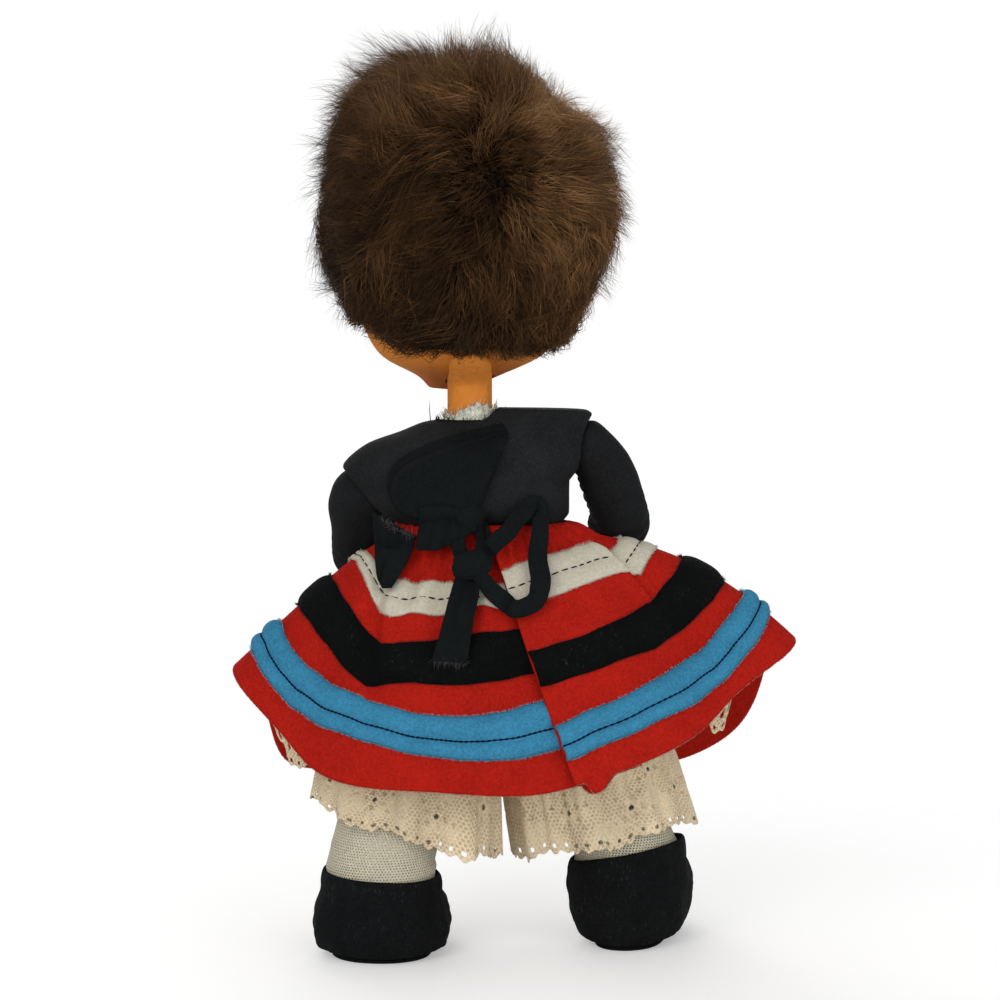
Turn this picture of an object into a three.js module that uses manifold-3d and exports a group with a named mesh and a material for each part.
// Felt doll with a fur wig, a black bodice, a striped felt skirt, lace drawers and felt shoes.
// Millimetres, +Z up. The doll faces -Y and its own left is +X, so the bow at its back is on +Y.
import * as THREE from "three";
import { mergeVertices } from "three/addons/utils/BufferGeometryUtils.js";
import Module from "manifold-3d";

const wasm = await Module();
wasm.setup();

// Clearance between pieces that touch, and between pieces that turn in one another; smallest edge kept.
const GAP = 0.3;
const JOINT_GAP = 0.45;
const SLIVER = 0.04;

// Reach of the boxes that cut a piece along a plane, past the whole doll.
const BEYOND = 400;

// Stuffed body.
const SEAT_HEIGHT = 86;
const SEAT_X = 7;
const SEAT_HALF_WIDTH = 23;
const SEAT_HALF_DEPTH = 15.5;
const WAIST_HEIGHT = 113;
const WAIST_X = 9;
const WAIST_HALF_WIDTH = 20;
const WAIST_HALF_DEPTH = 13.5;
const CHEST_RISE = 14;
const CHEST_HEIGHT = WAIST_HEIGHT + CHEST_RISE;
const CHEST_X = 8.6;
const CHEST_HALF_WIDTH = 22.2;
const CHEST_HALF_DEPTH = 15.8;
const NECK_SEAT_RISE = 31.5;
const NECK_SEAT_HEIGHT = WAIST_HEIGHT + NECK_SEAT_RISE;
const NECK_X = 12.2;

// Bodice cloth, outside its body. The left shoulder lies lower than the right one.
const BODICE_CLOTH = 1.8;
const LEFT_SHOULDER_TIP = 46;
const LEFT_SHOULDER_TIP_RISE = 20.5;
const LEFT_SHOULDER_TIP_HEIGHT = WAIST_HEIGHT + LEFT_SHOULDER_TIP_RISE;
const RIGHT_SHOULDER_TIP = -20.4;
const RIGHT_SHOULDER_TIP_RISE = 32;
const RIGHT_SHOULDER_TIP_HEIGHT = WAIST_HEIGHT + RIGHT_SHOULDER_TIP_RISE;
const COLLAR_CLOTH = 1.3;
const COLLAR_HEIGHT = 4.2;
const COLLAR_FLARE = 0.5;

// Neck and head. The head is turned to the doll's left on the neck wire.
const NECK_RADIUS = 6.2;
const HEAD_TURN = 22;
const NECK_PIVOT = 14.2;
const HEAD_HALF_WIDTH = 28;
const HEAD_FRONT = 29;
const HEAD_BACK = 25;
const HEAD_HEIGHT = 71;
const NOD_ROOM = 1.6;
const CHIN_DROP = 6;
const FACE_FELT = 1.4;
const WIG_HALF_WIDTH = 37.4;
const WIG_HALF_DEPTH = 35.6;
const WIG_HEIGHT = 79.5;
const WIG_FOOT = 9.3;
const WIG_CROWN_LEAN = 3;
const FACE_OPENING_HALF_WIDTH = 22;
const FACE_OPENING_TOP = 47;

// Arms: a stuffed upper and lower sleeve each, and a felt mitten. They keep their height over the waist.
const LEFT_SHOULDER_RISE = 11.5;
const LEFT_ELBOW_RISE = -7;
const RIGHT_SHOULDER_RISE = 24.6;
const RIGHT_ELBOW_RISE = 3.6;
const LEFT_SHOULDER = new THREE.Vector3(41.2, -1.5, WAIST_HEIGHT + LEFT_SHOULDER_RISE);
const LEFT_ELBOW = new THREE.Vector3(43.2, -17.5, WAIST_HEIGHT + LEFT_ELBOW_RISE);
const RIGHT_SHOULDER = new THREE.Vector3(-22.8, 0, WAIST_HEIGHT + RIGHT_SHOULDER_RISE);
const RIGHT_ELBOW = new THREE.Vector3(-29.2, -11.5, WAIST_HEIGHT + RIGHT_ELBOW_RISE);
const LEFT_REACH = new THREE.Vector3(-0.1, -0.99, 0.09).normalize();
const RIGHT_REACH = new THREE.Vector3(0.08, -0.99, -0.1).normalize();
const UPPER_SLEEVE_RADIUS = 7.8;
const ELBOW_RADIUS = 7.4;
const WRIST_RADIUS = 6.2;
const LOWER_SLEEVE_LENGTH = 24;
const HAND_LENGTH = 14;
const HAND_HALF_WIDTH = 5.6;
const HAND_HALF_THICKNESS = 3.4;
const ELBOW_BEND = 45;
const ARM_WIRE_RADIUS = 0.8;
const ARM_WIRE_ROOT = 18;

// Legs, stockings, drawers and lace.
const HIP_HEIGHT = 82;
const LEFT_HIP_X = 22;
const RIGHT_HIP_X = -9;
const HIP_RADIUS = 12.4;
const ANKLE_RADIUS = 13.6;
const ANKLE_HEIGHT = 26;
const LEFT_ANKLE = [36.2, 5];
const RIGHT_ANKLE = [-31, -9];
const LEG_WIRE_RADIUS = 1;
const STOCKING_NET = 0.7;
const STOCKING_TOP = 60;
const DRAWERS_CLOTH = 1.1;
const DRAWERS_LEG_TOP = 68;
const DRAWERS_LEG_HEM = 49;
const LACE = 0.8;
const LACE_CUFF_TOP = 61;
const LEFT_CUFF_HEM = 34.2;
const LEFT_CUFF_TILT = 8;
const RIGHT_CUFF_HEM = 29.8;
const RIGHT_CUFF_TILT = 5.5;
const LACE_CUFF_HALF_WIDTH = 24.6;
const LACE_CUFF_HALF_DEPTH = 18.6;
const LACE_CUFF_WAVES = 9;
const LACE_CUFF_WAVE = 1.3;
const LACE_CUFF_INSET = 4.5;

// Shoes, made of a stuffed felt upper on a card insole and a felt sole.
const SOLE = 1.2;
const INSOLE = 0.8;
const INSOLE_INSET = 1.5;
const LEFT_SHOE_HALF_WIDTH = 18.2;
const RIGHT_SHOE_HALF_WIDTH = 16.8;
const SHOE_HEEL_REACH = 16.8;
const SHOE_TOE_REACH = 32.8;
const LEFT_SHOE_RIM = 22.5;
const RIGHT_SHOE_RIM = 26;
const LEFT_RIM_SLANT = 0.9;
const RIGHT_RIM_SLANT = -3.4;
const LEFT_TOE_TURN = -6;
const RIGHT_TOE_TURN = -18;
const SHOE_RIM_WALL = 1.1;
const FOOT_HEIGHT = 6.5;

// Skirt, bands and petticoat. The sheet starts at its lapping edge and goes round the doll.
const FELT = 1.1;
const BAND_FELT = 1;
const SKIRT_HALF_WIDTH = 74;
const SKIRT_HALF_DEPTH = 41;
const SKIRT_X = 0;
const HEM_BACK_HEIGHT = 50;
const HEM_FRONT_HEIGHT = 44;
const HEM_LEFT_HEIGHT = 78;
const HEM_RIGHT_HEIGHT = 86;
const SKIRT_FOLDS = 9;
const SKIRT_FOLD_DEPTH = 2;
const LAP_EDGE_ANGLE = -14;
const LAP_ANGLE = 12;
const WHITE_BAND = [0.185, 0.315];
const BLACK_BAND = [0.44, 0.6];
const BLUE_BAND = [0.735, 0.89];
const PETTICOAT_CLOTH = 0.7;
const PETTICOAT_INSET = 4.4;
const PETTICOAT_DROP = 1.6;
const PETTICOAT_HEM = 0.87;
const PETTICOAT_COLUMNS = 42;
const PETTICOAT_LACE_HEM = 0.97;
const PETTICOAT_LACE_DROP = 0.6;

// Bow of black ribbon, tacked to the back of the waist.
const RIBBON = 0.9;
const BOW_KNOT_WIDTH = 9;
const BOW_KNOT_HEIGHT = 12;
const BOW_KNOT_DEPTH = 6;
const BOW_X = 10;
const BOW_RISE = 7;
const BOW_HEIGHT = WAIST_HEIGHT + BOW_RISE;
const BOW_LOOP_REACH = 23;
const BOW_LOOP_TOP = 22.5;
const BOW_LOOP_SIDE = 8.5;
const BOW_LOOP_BULGE = 3.5;
const BOW_LOW_KNOT_ANGLE = 8;
const BOW_LOW_KNOT_DOWN = 0.14;
const BOW_LOOP_DEPTH = 2.4;
const BOW_NARROW_HALF_WIDTH = 2.8;

const RAD = Math.PI / 180;
const lerp = THREE.MathUtils.lerp;
const smoothstep = THREE.MathUtils.smoothstep;

// Closed mesh from points and triangles, turned so that its faces look outwards.
function closedMesh(points, triangles) {
  const geometry = new THREE.BufferGeometry().setFromPoints(points);
  let volume = 0;
  for (let i = 0; i < triangles.length; i += 3) {
    const [a, b, c] = [points[triangles[i]], points[triangles[i + 1]], points[triangles[i + 2]]];
    volume += a.dot(new THREE.Vector3().crossVectors(b, c));
  }
  if (volume < 0) triangles.reverse();
  return geometry.setIndex(triangles);
}

// Rings of equal count joined into one closed form, with a fan over each end.
function loft(rings) {
  const count = rings[0].length;
  const points = rings.flat();
  const triangles = [];
  for (let r = 0; r + 1 < rings.length; r++) {
    for (let i = 0; i < count; i++) {
      const j = (i + 1) % count;
      const [a, b, c, d] = [r * count + i, r * count + j, (r + 1) * count + i, (r + 1) * count + j];
      triangles.push(a, b, d, a, d, c);
    }
  }
  for (const [ring, turned] of [[0, true], [rings.length - 1, false]]) {
    const middle = new THREE.Vector3();
    rings[ring].forEach((p) => middle.addScaledVector(p, 1 / count));
    const hub = points.push(middle) - 1;
    for (let i = 0; i < count; i++) {
      const [a, b] = [ring * count + i, ring * count + ((i + 1) % count)];
      triangles.push(...(turned ? [hub, b, a] : [hub, a, b]));
    }
  }
  return closedMesh(points, triangles);
}

// Level rings of a stuffed form: each level has a height, a middle, half sizes and a squareness.
function stack(levels, grow = 0, sides = 20, endGrow = grow) {
  const rings = levels.map((level, k) => {
    const end = k === 0 ? -1 : k === levels.length - 1 ? 1 : 0;
    const power = 2 / (level.square ?? 2);
    return Array.from({ length: sides }, (_, i) => {
      const t = (2 * Math.PI * i) / sides;
      const [s, c] = [Math.sin(t), Math.cos(t)];
      return new THREE.Vector3(
        level.x + Math.max(0.2, level.rx + grow) * Math.sign(s) * Math.abs(s) ** power,
        level.y + Math.max(0.2, level.ry + grow) * Math.sign(c) * Math.abs(c) ** power,
        level.z + end * endGrow,
      );
    });
  });
  return loft(rings);
}

// Level of a stack at a height between two of its levels.
function levelAt(levels, z) {
  const k = levels.findIndex((level) => level.z >= z);
  const [a, b] = [levels[k - 1], levels[k]];
  const s = (z - a.z) / (b.z - a.z);
  const between = (key) => lerp(a[key], b[key], s);
  return { ...a, z, x: between("x"), y: between("y"), rx: between("rx"), ry: between("ry") };
}

// Round limb between two points, with a half ball at either end that is asked for.
function limb(start, end, startRadius, endRadius, options = {}) {
  const { ballStart = true, ballEnd = true, grow = 0, sides = 12, swell = 0.3 } = options;
  const along = new THREE.Vector3().subVectors(end, start);
  const length = along.length();
  along.normalize();
  const across = new THREE.Vector3(1, 0, 0).projectOnPlane(along).normalize();
  const up = new THREE.Vector3().crossVectors(along, across);
  const stations = [];
  const [r0, r1] = [startRadius + grow, endRadius + grow];
  const crown = [28, 55, 80].map((a) => [Math.sin(a * RAD), Math.cos(a * RAD)]);
  if (ballStart) for (const [s, c] of crown.toReversed()) stations.push([-r0 * s, r0 * c]);
  stations.push([ballStart ? 0 : -grow, r0]);
  if (swell) stations.push([length / 2, (r0 + r1) / 2 + swell]);
  stations.push([ballEnd ? length : length + grow, r1]);
  if (ballEnd) for (const [s, c] of crown) stations.push([length + r1 * s, r1 * c]);
  return loft(
    stations.map(([s, r]) =>
      Array.from({ length: sides }, (_, i) => {
        const t = (2 * Math.PI * i) / sides;
        return start.clone().addScaledVector(along, s)
          .addScaledVector(across, r * Math.cos(t))
          .addScaledVector(up, r * Math.sin(t));
      }),
    ),
  );
}

// Sheet with a real thickness: point(u, v, lift) gives its place, lift is measured along its normal.
function sheet(point, us, vs, near, far, closed = false) {
  const points = [];
  for (const lift of [near, far]) for (const v of vs) for (const u of us) points.push(point(u, v, lift));
  const [nu, nv] = [us.length, vs.length];
  const at = (side, r, i) => side * nu * nv + r * nu + (i % nu);
  const triangles = [];
  const quad = (a, b, c, d) => triangles.push(a, b, c, a, c, d);
  const spans = closed ? nu : nu - 1;
  for (let r = 0; r + 1 < nv; r++) {
    for (let i = 0; i < spans; i++) {
      quad(at(0, r, i), at(0, r, i + 1), at(0, r + 1, i + 1), at(0, r + 1, i));
      quad(at(1, r, i), at(1, r + 1, i), at(1, r + 1, i + 1), at(1, r, i + 1));
    }
  }
  for (let i = 0; i < spans; i++) {
    quad(at(0, 0, i), at(1, 0, i), at(1, 0, i + 1), at(0, 0, i + 1));
    quad(at(0, nv - 1, i), at(0, nv - 1, i + 1), at(1, nv - 1, i + 1), at(1, nv - 1, i));
  }
  if (!closed) {
    for (let r = 0; r + 1 < nv; r++) {
      quad(at(0, r, 0), at(0, r + 1, 0), at(1, r + 1, 0), at(1, r, 0));
      quad(at(0, r, nu - 1), at(1, r, nu - 1), at(1, r + 1, nu - 1), at(0, r + 1, nu - 1));
    }
  }
  return closedMesh(points, triangles);
}

// Solid for joining and cutting, and back again.
function solid(geometry) {
  const bare = new THREE.BufferGeometry().setAttribute("position", geometry.getAttribute("position"));
  if (geometry.index) bare.setIndex(geometry.index);
  const welded = mergeVertices(bare, 1e-4);
  return new wasm.Manifold(
    new wasm.Mesh({
      numProp: 3,
      vertProperties: new Float32Array(welded.attributes.position.array),
      triVerts: new Uint32Array(welded.index.array),
    }),
  );
}

function shape(body) {
  const mesh = body.getMesh();
  return new THREE.BufferGeometry()
    .setAttribute("position", new THREE.BufferAttribute(mesh.vertProperties, 3))
    .setIndex(new THREE.BufferAttribute(mesh.triVerts, 1));
}

// First shape less every other one. Only the largest body is kept, without its slivers.
function cut(first, ...others) {
  let left = first;
  for (const other of others) left = left.subtract(other);
  return left.decompose().sort((a, b) => b.volume() - a.volume())[0].simplify(SLIVER);
}

function box(x0, x1, y0, y1, z0, z1) {
  const geometry = new THREE.BoxGeometry(x1 - x0, y1 - y0, z1 - z0);
  return solid(geometry.translate((x0 + x1) / 2, (y0 + y1) / 2, (z0 + z1) / 2));
}

function ball(centre, radius, sides = 16) {
  const geometry = new THREE.SphereGeometry(radius, sides, Math.ceil(sides * 0.7));
  return solid(geometry.translate(centre.x, centre.y, centre.z));
}

// Cylinder along Z or X through a point.
function rod(centre, radius, length, alongX = false, sides = 20) {
  const geometry = new THREE.CylinderGeometry(radius, radius, length, sides);
  if (alongX) geometry.rotateZ(Math.PI / 2);
  else geometry.rotateX(Math.PI / 2);
  return solid(geometry.translate(centre.x, centre.y, centre.z));
}

// Round wire through points, with a small radius at its bends.
function wire(points, radius) {
  const circle = new THREE.Shape().absarc(0, 0, radius, 0, 2 * Math.PI);
  const path = new THREE.CatmullRomCurve3(points, false, "centripetal", 0.2);
  const bends = 2 * (points.length - 1);
  return new THREE.ExtrudeGeometry(circle, { steps: bends, curveSegments: 4, extrudePath: path });
}

// Materials in the photographed colours.
const felt = (color) => new THREE.MeshStandardMaterial({ color, roughness: 0.95, metalness: 0 });
const redFelt = felt("#ab1d14");
const blueFelt = felt("#3f8fc0");
const whiteFelt = felt("#cfc9b8");
const blackFelt = felt("#15161a");
const blackCotton = felt("#24252a");
const tanFelt = felt("#c8823a");
const whiteCotton = felt("#d6d2c4");
const ecruLace = felt("#d2ba92");
const brownFur = felt("#46301f");
const card = new THREE.MeshStandardMaterial({ color: "#9c8462", roughness: 0.9, metalness: 0 });
const steel = new THREE.MeshStandardMaterial({ color: "#8d9196", roughness: 0.4, metalness: 1 });

const doll = new THREE.Group();
doll.name = "felt_doll";
function add(name, geometry, material) {
  geometry.computeVertexNormals();
  const mesh = new THREE.Mesh(geometry, material);
  mesh.name = name;
  doll.add(mesh);
}

// Stuffed torso from the seat to the neck, with a socket for each hip and bores for its wires.
const bodyX = (z) => lerp(SEAT_X, NECK_X, (z - SEAT_HEIGHT) / (NECK_SEAT_HEIGHT - SEAT_HEIGHT));
const torsoLevels = [
  { z: SEAT_HEIGHT, x: SEAT_X, rx: SEAT_HALF_WIDTH - 3, ry: SEAT_HALF_DEPTH - 3 },
  { z: SEAT_HEIGHT + 5, x: SEAT_X, rx: SEAT_HALF_WIDTH, ry: SEAT_HALF_DEPTH },
  { z: (SEAT_HEIGHT + WAIST_HEIGHT) / 2 + 4, x: 8, rx: SEAT_HALF_WIDTH - 0.6, ry: SEAT_HALF_DEPTH - 0.4 },
  { z: WAIST_HEIGHT - 2, x: WAIST_X, rx: WAIST_HALF_WIDTH, ry: WAIST_HALF_DEPTH, square: 2 },
  { z: WAIST_HEIGHT + 1.5, x: WAIST_X, rx: WAIST_HALF_WIDTH, ry: WAIST_HALF_DEPTH, square: 2 },
  { z: CHEST_HEIGHT, x: CHEST_X, rx: CHEST_HALF_WIDTH, ry: CHEST_HALF_DEPTH },
  { z: NECK_SEAT_HEIGHT - 8, x: bodyX(NECK_SEAT_HEIGHT - 8), rx: 20, ry: 11.6 },
  { z: NECK_SEAT_HEIGHT - 3.5, x: NECK_X, rx: 13, ry: 9.4 },
  { z: NECK_SEAT_HEIGHT, x: NECK_X, rx: 9, ry: 8 },
].map((level) => ({ y: 0, square: 2.3, ...level }));
const leftHip = new THREE.Vector3(LEFT_HIP_X, 0, HIP_HEIGHT);
const rightHip = new THREE.Vector3(RIGHT_HIP_X, 0, HIP_HEIGHT);
const hipSockets = [leftHip, rightHip].map((hip) => ball(hip, HIP_RADIUS + JOINT_GAP, 14));
const neckSeat = new THREE.Vector3(NECK_X, 0, NECK_SEAT_HEIGHT);
const spineFoot = WAIST_HEIGHT - 12;
const spineTop = NECK_SEAT_HEIGHT + NECK_PIVOT - 2;
const spineMiddle = new THREE.Vector3(NECK_X, 0, (spineFoot + spineTop) / 2);
const spineRadius = 1.2;
const spineBore = rod(spineMiddle, spineRadius + GAP, spineTop - spineFoot + 2 * GAP);
const arms = [
  { side: "left", out: 1, shoulder: LEFT_SHOULDER, elbow: LEFT_ELBOW, reach: LEFT_REACH },
  { side: "right", out: -1, shoulder: RIGHT_SHOULDER, elbow: RIGHT_ELBOW, reach: RIGHT_REACH },
];
const armBores = arms.map((arm) => {
  const { shoulder, elbow, out } = arm;
  const root = shoulder.clone();
  root.x -= out * ARM_WIRE_ROOT;
  const end = elbow.clone().lerp(shoulder, 0.12);
  const inBody = [0, 0.45, 0.85].map((share) => root.clone().lerp(shoulder, share));
  arm.wirePath = [...inBody, shoulder.clone().lerp(elbow, 0.2), end];
  const bore = solid(wire(arm.wirePath, ARM_WIRE_RADIUS + GAP));
  arm.bore = bore.add(ball(root, ARM_WIRE_RADIUS + GAP, 8)).add(ball(end, ARM_WIRE_RADIUS + GAP, 8));
  return arm.bore;
});
add("torso", shape(cut(solid(stack(torsoLevels)), ...hipSockets, spineBore, ...armBores)), whiteCotton);
add("spine_wire", shape(rod(spineMiddle, spineRadius, spineTop - spineFoot)), steel);

// Black bodice over the chest. Its shoulders run out over the arms; a seam at either side parts it.
const span = (z, right, left, ry) => {
  return { z, x: (left + right) / 2, y: 0, rx: (left - right) / 2, ry, square: 2.4 };
};
const overTorso = GAP + BODICE_CLOTH;
const clothAt = (z, { x, rx, ry }) => span(z, x - rx - overTorso, x + rx + overTorso, ry + overTorso);
const chest = torsoLevels[5];
const bodiceFoot = WAIST_HEIGHT + GAP;
const collarRadius = NECK_RADIUS + GAP + COLLAR_CLOTH;
const shoulderAt = (share) => lerp(LEFT_SHOULDER_TIP_HEIGHT, RIGHT_SHOULDER_TIP_HEIGHT, share);
const bodiceLevels = [
  clothAt(bodiceFoot, torsoLevels[4]),
  clothAt(lerp(bodiceFoot, CHEST_HEIGHT, 0.5), { ...chest, x: chest.x - 0.6, rx: chest.rx - 1.4 }),
  clothAt(CHEST_HEIGHT, chest),
  span(LEFT_SHOULDER_TIP_HEIGHT - 1.6, RIGHT_SHOULDER_TIP + 2.6, LEFT_SHOULDER_TIP - 1.2, 16.4),
  span(LEFT_SHOULDER_TIP_HEIGHT, RIGHT_SHOULDER_TIP + 2.2, LEFT_SHOULDER_TIP, 15.6),
  span(shoulderAt(0.43), RIGHT_SHOULDER_TIP + 1.2, LEFT_SHOULDER_TIP - 6, 14),
  span(shoulderAt(0.81), RIGHT_SHOULDER_TIP + 0.5, LEFT_SHOULDER_TIP - 15, 12),
  span(RIGHT_SHOULDER_TIP_HEIGHT, RIGHT_SHOULDER_TIP, LEFT_SHOULDER_TIP - 23, 10),
  span(RIGHT_SHOULDER_TIP_HEIGHT + 2.4, RIGHT_SHOULDER_TIP + 0.6, NECK_X + collarRadius, 8.6),
];
// Room for each arm: a round hollow for its ball, open below, and open in front where the arm swings up.
const armRooms = arms.map(({ shoulder, out }) => {
  const reachOut = UPPER_SLEEVE_RADIUS + JOINT_GAP;
  const inner = shoulder.x - out * reachOut;
  const outer = shoulder.x + out * 40;
  const [x0, x1] = [Math.min(inner, outer), Math.max(inner, outer)];
  const hollow = rod(new THREE.Vector3((x0 + x1) / 2, shoulder.y, shoulder.z), reachOut, x1 - x0, true);
  const below = box(x0, x1, -60, 60, shoulder.z - 60, shoulder.z - 3);
  const front = box(x0, x1, -60, shoulder.y, shoulder.z - 60, shoulder.z + reachOut);
  return hollow.add(below).add(front);
});
const neckHole = rod(neckSeat, collarRadius + COLLAR_FLARE + GAP, 30);
const bodice = cut(
  solid(stack(bodiceLevels, 0, 22)), solid(stack(torsoLevels, GAP)), neckHole, ...armRooms, ...armBores,
);
const seam = GAP / 2;
add("bodice_back", shape(cut(bodice, box(-BEYOND, BEYOND, -BEYOND, seam, 0, BEYOND))), blackCotton);
add("bodice_front", shape(cut(bodice, box(-BEYOND, BEYOND, -seam, BEYOND, 0, BEYOND))), blackCotton);

// White cotton edge that stands round the neck.
const collarInside = NECK_RADIUS + GAP;
const collarProfile = [
  [collarInside, 0],
  [collarRadius, 0],
  [collarRadius + COLLAR_FLARE, COLLAR_HEIGHT],
  [collarInside + COLLAR_FLARE, COLLAR_HEIGHT],
  [collarInside, 0],
].map(([r, z]) => new THREE.Vector2(r, z));
const collar = new THREE.LatheGeometry(collarProfile, 24).rotateX(Math.PI / 2);
add("collar", shape(solid(collar.translate(NECK_X, 0, NECK_SEAT_HEIGHT + GAP))), whiteCotton);

// Neck, a felt tube that turns on the spine wire. The head nods on its round top.
const neckFoot = new THREE.Vector3(NECK_X, 0, NECK_SEAT_HEIGHT + GAP);
const neckTop = neckFoot.clone();
neckTop.z += NECK_PIVOT;
const neck = limb(neckFoot, neckTop, NECK_RADIUS, NECK_RADIUS, { ballStart: false, sides: 18, swell: 0 });
add("neck", shape(cut(solid(neck), spineBore)), tanFelt);

// Head of felt over stuffing: broad cheeks, a chin drawn forward, and a socket for the neck.
const headFoot = neckTop.z - CHIN_DROP;
const headRows = [
  [0, 0.2, 0.72, -0.3], [0.04, 0.35, 0.8, 0.14], [0.11, 0.53, 0.88, 0.5], [0.21, 0.76, 0.98, 0.78],
  [0.33, 0.95, 1.01, 0.94], [0.47, 1, 0.99, 1], [0.63, 0.98, 0.96, 1], [0.79, 0.86, 0.84, 0.9],
  [0.9, 0.65, 0.63, 0.66], [0.97, 0.38, 0.37, 0.38], [1, 0.14, 0.12, 0.12],
];
const headLevels = headRows.map(([s, width, front, back]) => ({
  z: headFoot + s * HEAD_HEIGHT,
  x: 0,
  y: (back * HEAD_BACK - front * HEAD_FRONT) / 2,
  rx: width * HEAD_HALF_WIDTH,
  ry: (back * HEAD_BACK + front * HEAD_FRONT) / 2,
  square: 2.2,
}));
const turnHead = (body) => body.rotate([0, 0, HEAD_TURN]).translate([NECK_X, 0, 0]);
const headOutside = solid(stack(headLevels, 0, 20));
const noseHeight = headFoot + 0.3 * HEAD_HEIGHT;
const nose = solid(
  new THREE.SphereGeometry(3.4, 10, 6).scale(0.9, 1, 1.1).translate(0, -HEAD_FRONT * 1.01 - 0.6, noseHeight),
);
const nodMiddle = new THREE.Vector3(0, 0, neckTop.z);
const socketDepth = 40;
const belowNod = nodMiddle.clone().setZ(neckTop.z - socketDepth / 2);
const nodRoom = rod(belowNod, NECK_RADIUS + NOD_ROOM, socketDepth);
const neckSocket = ball(nodMiddle, NECK_RADIUS + JOINT_GAP).add(nodRoom);
const headInside = solid(stack(headLevels, -FACE_FELT, 20));
const headSeamY = 2;
const behindSeam = box(-BEYOND, BEYOND, headSeamY - seam, BEYOND, 0, BEYOND);
const beforeSeam = box(-BEYOND, BEYOND, -BEYOND, headSeamY + seam, 0, BEYOND);
const headSkin = headOutside.add(nose).subtract(headInside).subtract(neckSocket);
const headStuffing = cut(solid(stack(headLevels, -FACE_FELT - GAP, 20)), neckSocket);
add("head_stuffing", shape(turnHead(headStuffing)), whiteCotton);
add("face", shape(turnHead(cut(headSkin, behindSeam))), tanFelt);
add("head_back", shape(turnHead(cut(headSkin, beforeSeam))), tanFelt);

// Fur wig, a blunt ball of pelt round the head, open over the face.
const wigFoot = headFoot + WIG_FOOT;
const wigLevels = [-0.98, -0.88, -0.7, -0.4, 0, 0.4, 0.7, 0.88, 0.98].map((s) => {
  const share = (1 - Math.abs(s) ** 2.7) ** (1 / 2.7);
  const tuck = s < -0.5 ? 0.92 : 1;
  return {
    z: wigFoot + (WIG_HEIGHT * (s + 1)) / 2, x: WIG_CROWN_LEAN * Math.max(0, s) ** 3, y: 1.5, square: 2.3,
    rx: WIG_HALF_WIDTH * share * tuck, ry: WIG_HALF_DEPTH * share * tuck,
  };
});
const faceOpening = new THREE.CylinderGeometry(1, 1, 60, 24)
  .scale(FACE_OPENING_HALF_WIDTH, 1, FACE_OPENING_TOP / 2 + 8)
  .translate(0, -30 - 5, headFoot + FACE_OPENING_TOP / 2 - 1);
const wig = cut(
  solid(stack(wigLevels, 0, 24)), solid(stack(headLevels, GAP, 20)), neckSocket, solid(faceOpening),
);
add("wig", shape(turnHead(wig)), brownFur);

// Arms. The lower sleeve is hollowed where the elbow turns in it.
for (const { side, out, shoulder, elbow, reach, wirePath, bore } of arms) {
  const wrist = elbow.clone().addScaledVector(reach, LOWER_SLEEVE_LENGTH);
  const lowerFrom = elbow.clone().addScaledVector(reach, ELBOW_RADIUS + 2);
  const lowerTo = wrist.clone().addScaledVector(reach, HAND_LENGTH * 0.6);
  const upper = solid(limb(shoulder, elbow, UPPER_SLEEVE_RADIUS, ELBOW_RADIUS));
  add(`${side}_upper_sleeve`, shape(cut(upper, bore)), blackCotton);
  add(`${side}_arm_wire`, wire(wirePath, ARM_WIRE_RADIUS), steel);

  const openEnds = { ballStart: false, ballEnd: false };
  const lower = solid(limb(elbow, wrist, ELBOW_RADIUS - 0.1, WRIST_RADIUS, openEnds));
  const around = solid(limb(shoulder, elbow, UPPER_SLEEVE_RADIUS, ELBOW_RADIUS, { grow: JOINT_GAP }));
  const elbowAway = elbow.clone().negate();
  const bends = [0, 0.5, 1].map((share) => {
    const atElbow = around.translate(elbowAway.toArray());
    return atElbow.rotate([share * ELBOW_BEND, 0, 0]).translate(elbow.toArray());
  });
  const lowerBore = solid(wire([elbow, lowerTo.clone().addScaledVector(reach, GAP)], ARM_WIRE_RADIUS + GAP));
  add(`${side}_lower_sleeve`, shape(cut(lower, ...bends, lowerBore)), blackCotton);
  add(`${side}_forearm_wire`, wire([lowerFrom, lowerTo], ARM_WIRE_RADIUS), steel);

  // Mitten hand with a thumb that points up from its inner side.
  const across = new THREE.Vector3(1, 0, 0).projectOnPlane(reach).normalize();
  const up = new THREE.Vector3().crossVectors(across, reach);
  const handRows = [
    [0, 0.8, 1.1], [0.25, 0.85, 1], [0.55, 1, 1], [0.82, 0.84, 0.88], [0.95, 0.5, 0.6], [1, 0.2, 0.3],
  ];
  const handRings = handRows.map(([s, wide, thick]) =>
    Array.from({ length: 12 }, (_, i) => {
      const t = (2 * Math.PI * i) / 12;
      return wrist.clone().addScaledVector(reach, GAP + s * HAND_LENGTH)
        .addScaledVector(across, HAND_HALF_WIDTH * wide * Math.cos(t))
        .addScaledVector(up, HAND_HALF_THICKNESS * thick * Math.sin(t));
    }),
  );
  const onHand = (share, inwards, upwards) =>
    wrist.clone().addScaledVector(reach, share * HAND_LENGTH)
      .addScaledVector(across, -out * inwards)
      .addScaledVector(up, -upwards);
  const thumbRoot = onHand(0.3, 0.36 * HAND_HALF_WIDTH, 0.3 * HAND_HALF_THICKNESS);
  const thumbTip = onHand(0.62, 0.61 * HAND_HALF_WIDTH, 1.53 * HAND_HALF_THICKNESS);
  const thumb = solid(limb(thumbRoot, thumbTip, 2.3, 1.9, { sides: 8 }));
  add(`${side}_hand`, shape(cut(solid(loft(handRings)).add(thumb), lowerBore)), tanFelt);
}

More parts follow.
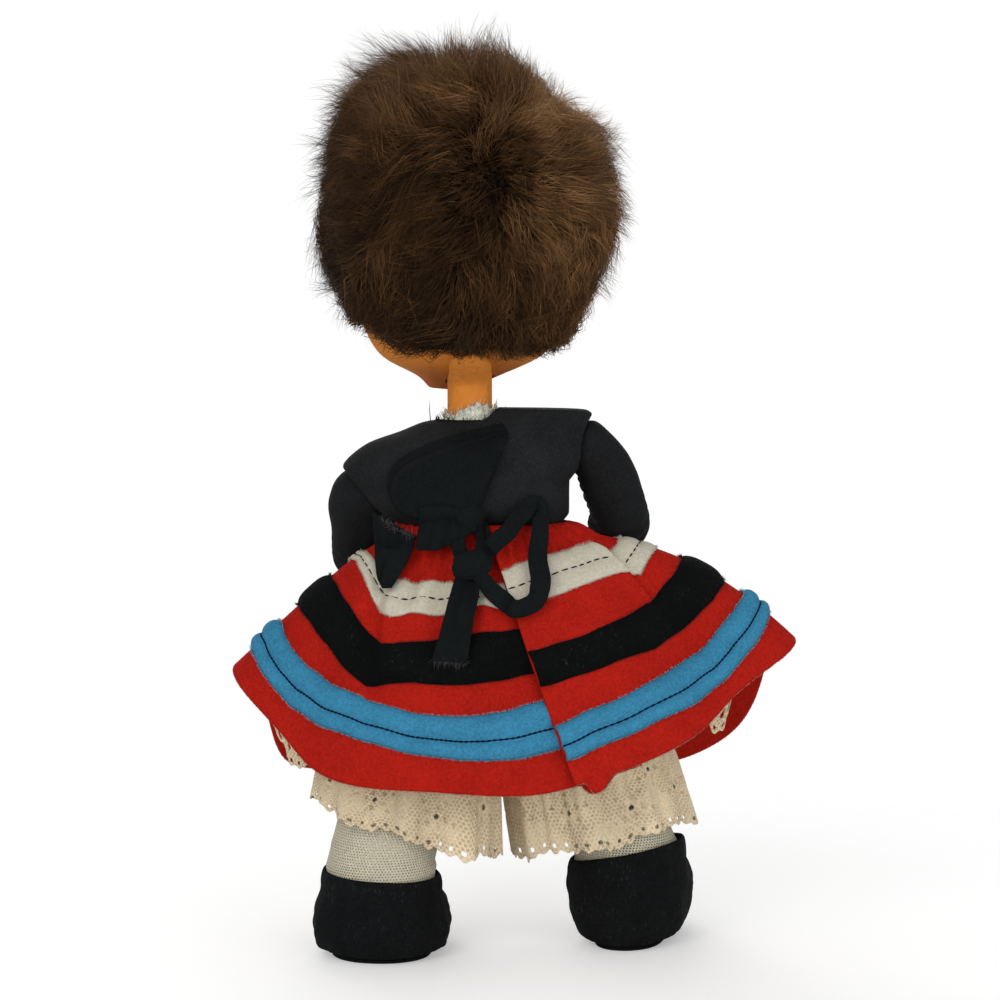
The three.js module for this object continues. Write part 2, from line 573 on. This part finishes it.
// Legs, from the ball in the hip socket down into the shoe.
const leftShoe = { wide: LEFT_SHOE_HALF_WIDTH, rim: LEFT_SHOE_RIM, slant: LEFT_RIM_SLANT, turn: LEFT_TOE_TURN };
const rightShoe = {
  wide: RIGHT_SHOE_HALF_WIDTH, rim: RIGHT_SHOE_RIM, slant: RIGHT_RIM_SLANT, turn: RIGHT_TOE_TURN,
};
const leftCuff = { hem: LEFT_CUFF_HEM, tilt: LEFT_CUFF_TILT };
const rightCuff = { hem: RIGHT_CUFF_HEM, tilt: RIGHT_CUFF_TILT };
const legs = [
  { side: "left", out: 1, hip: leftHip, ankle: LEFT_ANKLE, shoe: leftShoe, ...leftCuff },
  { side: "right", out: -1, hip: rightHip, ankle: RIGHT_ANKLE, shoe: rightShoe, ...rightCuff },
];
for (const { side, out, hip, ankle, shoe, hem, tilt } of legs) {
  const legLevel = (z) => {
    const share = THREE.MathUtils.clamp((HIP_HEIGHT - z) / (HIP_HEIGHT - ANKLE_HEIGHT), 0, 1);
    const taper = THREE.MathUtils.clamp((HIP_HEIGHT - z - 9) / 21, 0, 1);
    const radius = z > HIP_HEIGHT
      ? Math.sqrt(Math.max(0.04, HIP_RADIUS ** 2 - (z - HIP_HEIGHT) ** 2))
      : lerp(HIP_RADIUS, ANKLE_RADIUS, taper);
    return { z, x: lerp(hip.x, ankle[0], share), y: lerp(hip.y, ankle[1], share), rx: radius, ry: radius };
  };
  const breaks = [ANKLE_HEIGHT, HIP_HEIGHT - 30, HIP_HEIGHT - 9];
  const heights = (from, to) => {
    const between = breaks.filter((z) => z > from + 0.5 && z < to - 0.5);
    return [from, ...between, to].map(legLevel);
  };
  const crown = [80, 58, 30].map((a) => legLevel(HIP_HEIGHT + HIP_RADIUS * Math.sin(a * RAD))).reverse();
  const legLevels = [...heights(FOOT_HEIGHT, HIP_HEIGHT), ...crown];
  const foot = legLevel(FOOT_HEIGHT);
  const wireTop = new THREE.Vector3(hip.x, hip.y, HIP_HEIGHT + HIP_RADIUS * 0.5);
  const wireFoot = new THREE.Vector3(foot.x, foot.y, FOOT_HEIGHT + 4);
  const wirePoints = [
    wireTop,
    ...[HIP_HEIGHT - 8, 50, ANKLE_HEIGHT].map((z) => new THREE.Vector3(legLevel(z).x, legLevel(z).y, z)),
    wireFoot,
  ];
  const legBore = [
    solid(wire(wirePoints, LEG_WIRE_RADIUS + GAP)),
    rod(wireTop.clone().add(new THREE.Vector3(0, 0, 8)), LEG_WIRE_RADIUS + GAP, 18, false, 8),
    ball(wireFoot, LEG_WIRE_RADIUS + GAP, 8),
  ];
  add(`${side}_leg`, shape(cut(solid(stack(legLevels, 0, 16)), ...legBore)), whiteCotton);
  add(`${side}_leg_wire`, wire(wirePoints, LEG_WIRE_RADIUS), steel);

  // Net stocking drawn over the leg.
  const stockingFoot = LEFT_SHOE_RIM - 8;
  const overStocking = 2 * GAP + STOCKING_NET;
  const legRoom = solid(stack(legLevels, GAP, 16));
  const stocking = solid(stack(heights(stockingFoot, STOCKING_TOP), GAP + STOCKING_NET, 16, 0));
  add(`${side}_stocking`, shape(cut(stocking, legRoom)), whiteCotton);

  // Leg of the drawers, and the flared lace cuff sewn to its hem.
  const stockingRoom = solid(stack(heights(stockingFoot, HIP_HEIGHT), overStocking, 16, 0));
  const drawersLevels = heights(DRAWERS_LEG_HEM, DRAWERS_LEG_TOP);
  const drawersLeg = solid(stack(drawersLevels, overStocking + DRAWERS_CLOTH, 16, 0));
  add(`${side}_drawers_leg`, shape(cut(drawersLeg, stockingRoom)), whiteCotton);
  const cuffTop = legLevel(LACE_CUFF_TOP);
  const cuffHem = legLevel(hem);
  const cuffHole = cuffTop.rx + overStocking + DRAWERS_CLOTH + 1.5 * GAP;
  const cuffPoint = (u, v, lift) => {
    const t = 2 * Math.PI * u;
    const wave = LACE_CUFF_WAVE * Math.sin(LACE_CUFF_WAVES * t + out) * v;
    const opening = Math.sin((v * Math.PI) / 2);
    const halfWidth = lerp(cuffHole, LACE_CUFF_HALF_WIDTH, opening) + wave + lift;
    const halfDepth = lerp(cuffHole, LACE_CUFF_HALF_DEPTH, opening) + wave + lift;
    return new THREE.Vector3(
      lerp(cuffTop.x, cuffHem.x - out * LACE_CUFF_INSET, v) + halfWidth * Math.sin(t),
      lerp(cuffTop.y, cuffHem.y, v) + halfDepth * Math.cos(t),
      lerp(LACE_CUFF_TOP, hem + out * tilt * Math.sin(t), v) + 0.6 * lift,
    );
  };
  const cuffRound = Array.from({ length: 4 * LACE_CUFF_WAVES }, (_, i) => i / (4 * LACE_CUFF_WAVES));
  add(`${side}_lace_cuff`, sheet(cuffPoint, cuffRound, [0, 0.2, 0.5, 1], 0, LACE, true), ecruLace);

  // Shoe: stuffed felt bag with a socket for the foot, card insole and small flat felt sole.
  const plan = (z, wide, heel, toe, slant = 0) =>
    Array.from({ length: 20 }, (_, i) => {
      const t = (2 * Math.PI * i) / 20;
      const [s, c] = [Math.sin(t), Math.cos(t)];
      const x = wide * Math.sign(s) * Math.abs(s) ** 0.93;
      const p = new THREE.Vector3(x, c > 0 ? heel * c : toe * c, z + slant * s);
      p.applyAxisAngle(new THREE.Vector3(0, 0, 1), shoe.turn * RAD);
      return p.add(new THREE.Vector3(ankle[0], ankle[1], 0));
    });
  const [w, h, t] = [shoe.wide, SHOE_HEEL_REACH, SHOE_TOE_REACH];
  const rim = ANKLE_RADIUS + 2 * GAP + STOCKING_NET + SHOE_RIM_WALL;
  const upperFoot = SOLE + INSOLE + 2 * GAP;
  const rise = shoe.rim - upperFoot;
  const nearRim = (reach) => lerp(rim, reach, 0.25);
  const shoeRows = [
    [0, 0.82 * w, 0.88 * h, 0.93 * t], [0.14, 0.94 * w, 0.96 * h, 0.99 * t], [0.31, w, h, t],
    [0.55, 0.98 * w, 0.98 * h, 0.87 * t], [0.785, nearRim(w), nearRim(h), nearRim(t)], [1, rim, rim, rim],
  ];
  const upper = solid(
    loft(shoeRows.map(([s, wide, heel, toe]) => plan(upperFoot + s * rise, wide, heel, toe, s * shoe.slant))),
  );
  const socketTop = shoe.rim + Math.abs(shoe.slant) + 4;
  const stockingSocket = solid(stack(heights(stockingFoot - GAP, socketTop), overStocking, 16, 0));
  add(`${side}_shoe`, shape(cut(upper, legRoom, stockingSocket)), blackFelt);
  const [soleWide, soleHeel, soleToe] = [0.64 * w, 0.73 * h, 0.82 * t];
  const insolePlan = (z) => plan(z, soleWide - INSOLE_INSET, soleHeel - INSOLE_INSET, soleToe - INSOLE_INSET);
  add(`${side}_insole`, loft([insolePlan(SOLE + GAP), insolePlan(SOLE + GAP + INSOLE)]), card);
  const soleEdge = 0.6;
  const soleFoot = plan(0, soleWide - soleEdge, soleHeel - soleEdge, soleToe - soleEdge);
  add(`${side}_sole`, loft([soleFoot, plan(SOLE, soleWide, soleHeel, soleToe)]), blackFelt);
}

// Seat of the drawers, a cotton band round the hips.
const seatTop = (SEAT_HEIGHT + WAIST_HEIGHT) / 2 - 1;
const seatLevels = [torsoLevels[0], torsoLevels[1], levelAt(torsoLevels, seatTop)];
const seatFoot = box(-BEYOND, BEYOND, -BEYOND, BEYOND, 0, SEAT_HEIGHT + 2);
const seatOutside = solid(stack(seatLevels, GAP + DRAWERS_CLOTH, 20, 0));
const seat = cut(seatOutside, solid(stack(torsoLevels, GAP)), ...hipSockets, seatFoot);
add("drawers_seat", shape(seat), whiteCotton);

// Skirt surface: angle 0 is the middle of the back and a positive angle is the doll's left.
const petticoatWaist = GAP + PETTICOAT_CLOTH;
const skirtInset = petticoatWaist + GAP;
const LAP_LIFT = FELT + BAND_FELT + 2.5 * GAP;
function flare(angle, v, { inset, drop }) {
  const a = angle * RAD;
  const [s, c] = [Math.sin(a), Math.cos(a)];
  const sideHem = s > 0 ? HEM_LEFT_HEIGHT : HEM_RIGHT_HEIGHT;
  const toFront = smoothstep(-c, -0.25, 0.6);
  const middleHem = lerp(HEM_BACK_HEIGHT, HEM_FRONT_HEIGHT, toFront);
  const backCurve = s > 0 ? 5 : 1.95;
  const hem = lerp(middleHem, sideHem, Math.abs(s) ** lerp(backCurve, 6, toFront));
  const fold = SKIRT_FOLD_DEPTH * v * Math.sin(SKIRT_FOLDS * a + 1.3 + 0.8 * Math.sin(2 * a));
  const turn = ((((angle + 180) % 360) + 360) % 360) - 180;
  const puff = Math.exp(-(((Math.abs(turn) - (s > 0 ? 66 : 78)) / 24) ** 2)) * (s > 0 ? 0.55 : 1);
  const underArm = s > 0 ? Math.exp(-(((turn - 120) / 34) ** 2)) : 0;
  const out = v ** (0.92 - 0.1 * puff + 0.1 * underArm);
  const down = v ** (1.12 + 0.75 * puff - 0.42 * underArm);
  const waistX = WAIST_HALF_WIDTH + skirtInset - inset.waist;
  const waistY = WAIST_HALF_DEPTH + skirtInset - inset.waist;
  return new THREE.Vector3(
    lerp(WAIST_X + waistX * s, SKIRT_X + (SKIRT_HALF_WIDTH - inset.hem + fold) * s, out),
    lerp(waistY * c, (SKIRT_HALF_DEPTH - inset.hem + fold) * c, out),
    lerp(WAIST_HEIGHT, hem, down) - drop * smoothstep(v, 0, 0.15),
  );
}
const sweep = 360 + LAP_ANGLE;
const skirtSize = { inset: { waist: 0, hem: 0 }, drop: 0 };
function skirtPoint(u, v, lift) {
  const angle = LAP_EDGE_ANGLE - sweep * u;
  const here = flare(angle, v, skirtSize);
  const round = flare(angle + 2, v, skirtSize).sub(flare(angle - 2, v, skirtSize));
  const above = flare(angle, Math.max(0, v - 0.03), skirtSize);
  const down = flare(angle, Math.min(1, v + 0.03), skirtSize).sub(above);
  const normal = new THREE.Vector3().crossVectors(round, down).normalize();
  normal.z *= smoothstep(v, 0, 0.16);
  normal.normalize();
  const lapping = LAP_LIFT * (1 - smoothstep(u, LAP_ANGLE / sweep + 0.01, LAP_ANGLE / sweep + 0.08));
  return here.addScaledVector(normal, lift + lapping);
}
const skirtRound = Array.from({ length: 60 }, (_, i) => i / 59);
const skirtDown = [0, ...WHITE_BAND, ...BLACK_BAND, ...BLUE_BAND, 1];
add("skirt", sheet(skirtPoint, skirtRound, skirtDown, 0, FELT), redFelt);
const onSkirt = FELT + GAP;
for (const [name, rows, material] of [
  ["skirt_white_band", WHITE_BAND, whiteFelt],
  ["skirt_black_band", BLACK_BAND, blackFelt],
  ["skirt_blue_band", BLUE_BAND, blueFelt],
]) {
  add(name, sheet(skirtPoint, skirtRound, rows, onSkirt, onSkirt + BAND_FELT), material);
}

// Petticoat inside the skirt, and the lace along its hem.
const petticoatSize = { inset: { waist: petticoatWaist, hem: PETTICOAT_INSET }, drop: PETTICOAT_DROP };
const petticoatPoint = (u, v, lift) => {
  const p = flare(-360 * u, v, petticoatSize);
  const outward = new THREE.Vector3(p.x - WAIST_X, p.y, 0).normalize();
  return p.addScaledVector(outward, lift);
};
const petticoatRound = Array.from({ length: PETTICOAT_COLUMNS }, (_, i) => i / PETTICOAT_COLUMNS);
const petticoatDown = [0, 0.3, 0.6, PETTICOAT_HEM];
add("petticoat", sheet(petticoatPoint, petticoatRound, petticoatDown, 0, PETTICOAT_CLOTH, true), whiteCotton);
const hemLacePoint = (u, v, lift) => {
  const top = petticoatPoint(u, PETTICOAT_HEM, lift);
  const foot = petticoatPoint(u, PETTICOAT_LACE_HEM, lift);
  const drop = new THREE.Vector3(0, 0, -PETTICOAT_LACE_DROP * v);
  return top.lerp(foot, v).addScaledVector(foot.clone().sub(top).normalize(), GAP).add(drop);
};
add("petticoat_lace", sheet(hemLacePoint, petticoatRound, [0, 1], 0, PETTICOAT_CLOTH, true), ecruLace);

// Bow at the back of the waist, laid on the bodice and the skirt.
function bodiceBack(x, z) {
  const k = Math.max(1, bodiceLevels.findIndex((level) => level.z >= z));
  const [a, b] = [bodiceLevels[k - 1], bodiceLevels[k]];
  const s = THREE.MathUtils.clamp((z - a.z) / (b.z - a.z), 0, 1);
  const across = Math.min(0.8, Math.abs(x - lerp(a.x, b.x, s)) / lerp(a.rx, b.rx, s));
  return lerp(a.ry, b.ry, s) * (1 - across ** 2.4) ** (1 / 2.4);
}
const onBodice = (x, z, lift) => new THREE.Vector3(x, bodiceBack(x, z) + lift, z);

// Place over the skirt at an angle from the middle of its back, clear of the bands and of the lap.
const overBands = onSkirt + BAND_FELT + GAP;
function onBack(angle, v, lift) {
  const lapped = angle < LAP_EDGE_ANGLE;
  const u = (LAP_EDGE_ANGLE - (lapped ? angle : angle - 360)) / sweep;
  return skirtPoint(u, v, overBands + lift);
}
const shares = (count) => Array.from({ length: count + 1 }, (_, i) => i / count);

// Upper knot on the bodice, and the knot below it that the tails hang from.
function knot(middle, wide, deep, high) {
  const round = new THREE.SphereGeometry(1, 12, 7).scale(wide / 2, deep / 2, high / 2);
  return round.translate(middle.x, middle.y, middle.z);
}
const upperKnot = onBodice(BOW_X, BOW_HEIGHT, 1.6 * GAP + BOW_KNOT_DEPTH / 2);
add("bow_knot", knot(upperKnot, BOW_KNOT_WIDTH, BOW_KNOT_DEPTH, BOW_KNOT_HEIGHT), blackCotton);
const lowerKnot = onBack(BOW_LOW_KNOT_ANGLE, BOW_LOW_KNOT_DOWN, BOW_KNOT_DEPTH / 2);
add("bow_lower_knot", knot(lowerKnot, BOW_KNOT_WIDTH + 1, BOW_KNOT_DEPTH, BOW_KNOT_HEIGHT - 3), blackCotton);

// Wide loop folded flat on the left of the bodice.
const fan = (s, t) => {
  const near = [lerp(BOW_X - 5, BOW_X + 7, s), lerp(BOW_HEIGHT + 6.5, BOW_HEIGHT - 2, s)];
  const farUp = lerp(BOW_LOOP_TOP, BOW_LOOP_SIDE, s) + BOW_LOOP_BULGE * Math.sin(Math.PI * s);
  const far = [lerp(BOW_X - 7.5, BOW_X + BOW_LOOP_REACH, s), BOW_HEIGHT + farUp];
  return [lerp(near[0], far[0], t), lerp(near[1], far[1], t)];
};
const fanPoint = (s, t, lift) => {
  const [x, z] = fan(s, lerp(0.3, 1, t));
  return onBodice(x, z, 3 * GAP + lift);
};
add("bow_upper_loop", sheet(fanPoint, shares(6), shares(4), 0, BOW_LOOP_DEPTH), blackCotton);

// Left tail over the top of the skirt, centre tail down its back, both cut from the same ribbon.
const leftTail = (s, t, lift) =>
  onBack(lerp(lerp(40, 38, t), lerp(74, 52, t), s), lerp(0.03, 0.27, t), lift);
add("bow_left_tail", sheet(leftTail, shares(4), shares(4), 0, RIBBON), blackCotton);
const centreTail = (s, t, lift) =>
  onBack(lerp(lerp(5, 9, t), lerp(13, 23, t), s), lerp(0.205, 0.52, t), lift);
add("bow_centre_tail", sheet(centreTail, shares(3), shares(5), 0, RIBBON), blackCotton);

// Narrow loop on the right, from the upper knot over the lap of the skirt to the lower knot.
function ribbon(places, sideways, halfWidth, thickness) {
  const rings = places.map((place, i) => {
    const ahead = places[Math.min(i + 1, places.length - 1)].clone().sub(places[Math.max(i - 1, 0)]);
    const across = sideways[i].clone().projectOnPlane(ahead.normalize()).setLength(halfWidth);
    const normal = new THREE.Vector3().crossVectors(ahead, across).setLength(thickness / 2);
    return [[1, 1], [-1, 1], [-1, -1], [1, -1]].map(([a, n]) =>
      place.clone().addScaledVector(across, a).addScaledVector(normal, n),
    );
  });
  return loft(rings);
}
const rightLoop = [
  [upperKnot.clone().add(new THREE.Vector3(-BOW_KNOT_WIDTH / 2 - 0.6, -0.6, 0.5)), [0, 0, 1]],
  [onBodice(BOW_X - 10, BOW_HEIGHT + 2.4, 2.4), [-0.2, 0, 1]],
  [onBodice(BOW_X - 13.5, BOW_HEIGHT + 2.6, 2.4), [-0.6, 0, 0.8]],
  [onBodice(BOW_X - 16, BOW_HEIGHT - 2, 5.5), [-1, 0, 0.2]],
  [onBodice(BOW_X - 16.5, BOW_HEIGHT - 10, 12), [-1, 0, 0]],
  [onBack(-27, 0.2, 1.2), [-1, 0, -0.25]],
  [onBack(-21, 0.27, 1.2), [-0.7, 0, -0.7]],
  [onBack(-9, 0.275, 1.2 + LAP_LIFT), [-0.1, 0, -1]],
  [onBack(-1, 0.22, 1.2 + LAP_LIFT), [0.3, 0, -0.9]],
  [lowerKnot.clone().add(new THREE.Vector3(-BOW_KNOT_WIDTH / 2 - 1.2, 0, -1.2)), [0.4, 0, -0.9]],
];
const loopSideways = rightLoop.map(([, side]) => new THREE.Vector3(...side));
const loopPlaces = rightLoop.map(([place]) => place);
add("bow_right_loop", ribbon(loopPlaces, loopSideways, BOW_NARROW_HALF_WIDTH, RIBBON), blackCotton);

// The doll stands on z = 0 with the middle of its box over the origin.
const bounds = new THREE.Box3().setFromObject(doll);
const middle = bounds.getCenter(new THREE.Vector3());
doll.position.set(-middle.x, -middle.y, -bounds.min.z);
doll.updateMatrixWorld(true);

export default doll;
